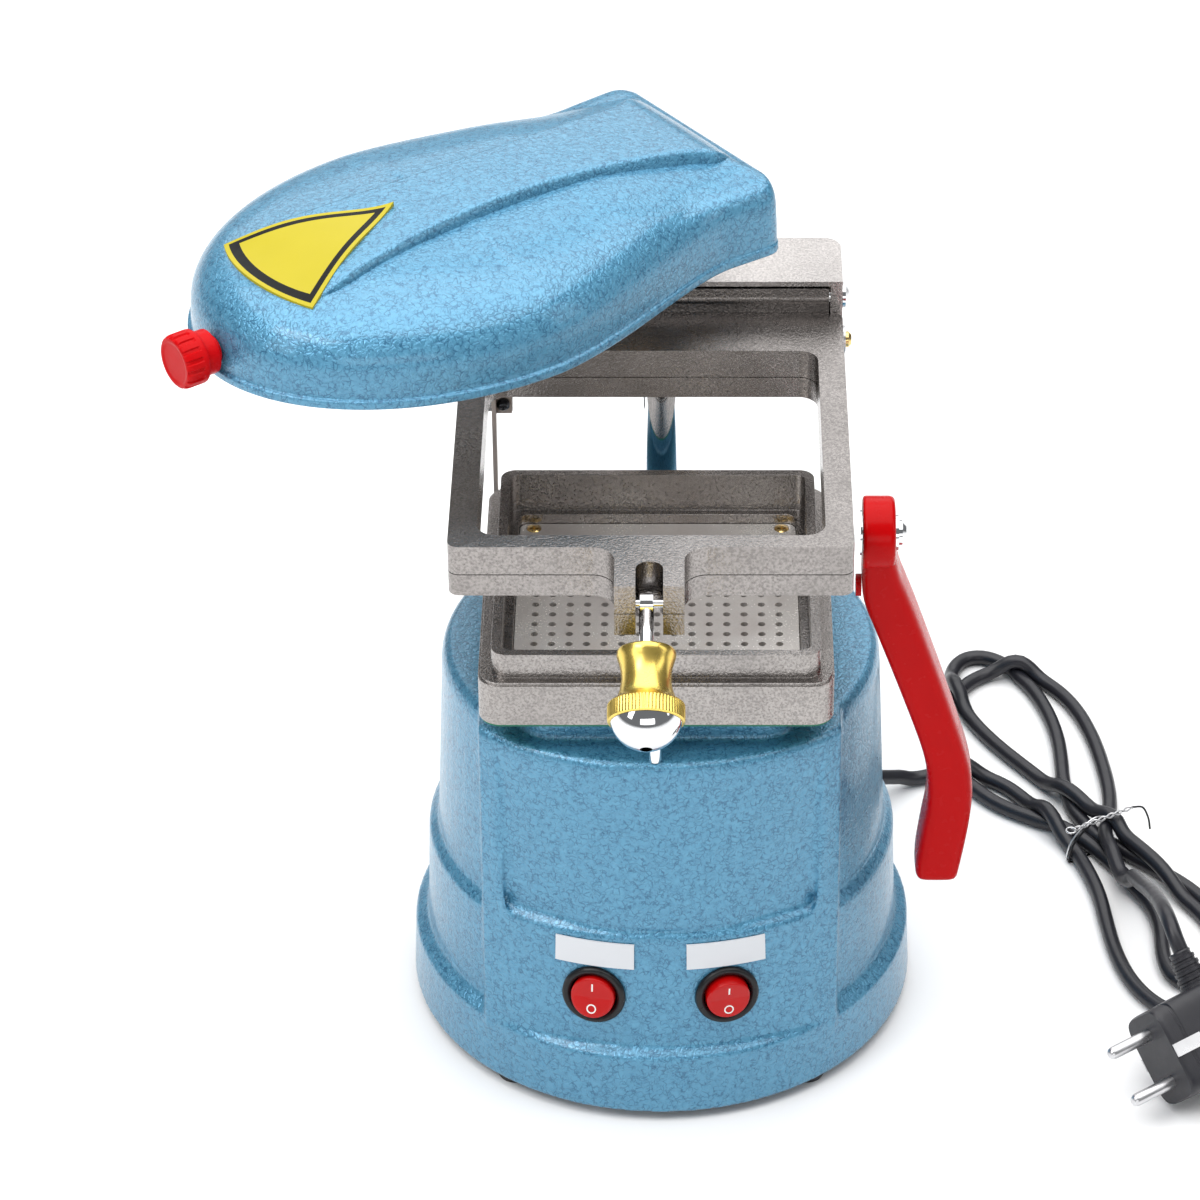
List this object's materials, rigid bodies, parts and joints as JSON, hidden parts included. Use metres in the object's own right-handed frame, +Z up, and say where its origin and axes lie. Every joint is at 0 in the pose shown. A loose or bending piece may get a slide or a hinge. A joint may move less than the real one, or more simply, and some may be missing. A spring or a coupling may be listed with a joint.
{
  "type": "dental vacuum former",
  "caption": "Bench vacuum former: stepped round base with square perforated vacuum tray, sliding clamp frame on a column, side lift lever, swinging heater dome, cord with plug.",
  "frame": {"origin": "centre of the standing plane, on the table, under the middle between the switches and the column", "axes": "+Z up, -Y towards the user and the two switches, +Y towards the column, +X towards the lift lever"},
  "size_m": [0.405, 0.3466, 0.3169],
  "materials": {
    "hammer_blue": "hammer finish, glossy",
    "cover_steel": "matt grey",
    "zinc_screws": "zinc plated",
    "rubber_black": "matt",
    "tray_casting": "nickel plated casting, satin",
    "gasket_green": "matt",
    "plate_aluminium": "satin",
    "brass_screws": "bright",
    "chrome_steel": "polished",
    "pipe_black": "matt",
    "motor_steel": "plain",
    "impeller_alloy": "cast",
    "switch_black": "glossy",
    "rocker_red": "translucent red",
    "label_white": "plain film",
    "frame_casting": "nickel plated, fine satin",
    "bush_bronze": "sintered",
    "dark_screws": "black oxide",
    "strip_steel": "plain",
    "lever_red": "glossy",
    "grip_gold": "gold anodised",
    "ceramic_white": "fired ceramic, matt",
    "knob_red": "glossy",
    "sticker_yellow": "plain film",
    "cord_black": "soft PVC",
    "tie_wire": "twisted wire",
    "plug_black": "fine grain",
    "plug_metal": "nickel plated"
  },
  "bodies": {
    "base": {"base_housing": "hammer_blue", "bottom_cover": "cover_steel", "cover_screws": "zinc_screws", "rubber_feet": "rubber_black", "foot_screws": "zinc_screws", "foot_nuts": "zinc_screws", "vacuum_tray": "tray_casting", "tray_gasket": "gasket_green", "perforated_plate": "plate_aluminium", "plate_screws": "brass_screws", "column": "chrome_steel", "column_nut": "zinc_screws", "front_rest_stud": "chrome_steel", "suction_pipe": "pipe_black", "motor_can": "motor_steel", "motor_bracket": "cover_steel", "impeller_housing": "impeller_alloy", "terminal_block": "pipe_black", "switch_bezel_left": "switch_black", "switch_bezel_right": "switch_black", "label_left": "label_white", "label_right": "label_white", "pivot_screw": "zinc_screws", "strain_relief": "cord_black", "power_cord": "cord_black", "cord_hank": "cord_black", "cord_tail": "cord_black", "wire_tie": "tie_wire", "plug_body": "plug_black", "plug_pins": "plug_metal", "earth_strips": "plug_metal"},
    "rotor": {"motor_shaft": "motor_steel", "impeller": "impeller_alloy"},
    "carriage": {"slide_block": "frame_casting", "slide_bush": "bush_bronze", "frame_screws": "dark_screws", "lower_frame": "frame_casting", "hinge_screws": "chrome_steel", "side_washer": "motor_steel", "side_screw": "brass_screws", "guide_strip": "strip_steel", "guide_screw": "dark_screws", "lever_stud": "chrome_steel", "bolt_pin": "chrome_steel"},
    "upper_frame": {"upper_frame": "frame_casting"},
    "lever": {"lever": "lever_red", "lever_screw": "chrome_steel", "lever_peg": "lever_red"},
    "swing_bolt": {"swing_bolt": "chrome_steel"},
    "knob_ball": {"clamp_ball": "chrome_steel"},
    "knob_grip": {"clamp_grip": "grip_gold"},
    "heater": {"heater_cover": "hammer_blue", "reflector_pan": "impeller_alloy", "ceramic_plate": "ceramic_white", "heating_coil": "motor_steel", "pivot_bush": "bush_bronze", "heater_knob": "knob_red", "heater_sticker": "sticker_yellow"},
    "rocker_left": {"rocker_left": "rocker_red"},
    "rocker_right": {"rocker_right": "rocker_red"}
  },
  "joints": [
    {"name": "frame_lift", "type": "slide", "parent": "base", "child": "carriage", "axis": [0, 0, 1], "range_m": [-0.04, 0]},
    {"name": "upper_frame_hinge", "type": "hinge", "parent": "carriage", "child": "upper_frame", "pos_m": [-0.0028, 0.092, 0.2475], "axis": [-1, 0, 0], "range_deg": [0, 12]},
    {"name": "lever_swing", "type": "hinge", "parent": "carriage", "child": "lever", "pos_m": [0.08, -0.037, 0.2268], "axis": [-1, 0, 0], "range_deg": [0, 75]},
    {"name": "bolt_swing", "type": "hinge", "parent": "carriage", "child": "swing_bolt", "pos_m": [-0.0042, -0.0842, 0.2288], "axis": [1, 0, 0], "range_deg": [-124, 0]},
    {"name": "knob_advance", "type": "slide", "parent": "swing_bolt", "child": "knob_ball", "axis": [0, 0.829, 0.5592], "range_m": [0, 0.0036]},
    {"name": "knob_spin", "type": "hinge", "parent": "knob_ball", "child": "knob_grip", "pos_m": [-0.0042, -0.0842, 0.2288], "axis": [0, -0.829, -0.5592], "range_deg": [0, 1037]},
    {"name": "heater_swing", "type": "hinge", "parent": "base", "child": "heater", "pos_m": [0, 0.105, 0.285], "axis": [0, 0, -1], "range_deg": [-53, 127]},
    {"name": "rocker_left", "type": "hinge", "parent": "base", "child": "rocker_left", "pos_m": [-0.02414, -0.07624, 0.052], "axis": [0.9751, -0.2215, 0], "range_deg": [0, 14]},
    {"name": "rocker_right", "type": "hinge", "parent": "base", "child": "rocker_right", "pos_m": [0.02414, -0.07624, 0.052], "axis": [0.9751, 0.2215, 0], "range_deg": [-14, 0]},
    {"name": "rotor_spin", "type": "hinge", "parent": "base", "child": "rotor", "pos_m": [-0.0012, -0.001, 0.06], "axis": [0, 0, 1], "continuous": true}
  ],
  "couplings": [
    {"joint": "knob_spin", "follows": "knob_advance", "rad_per_m": 5026.6}
  ]
}
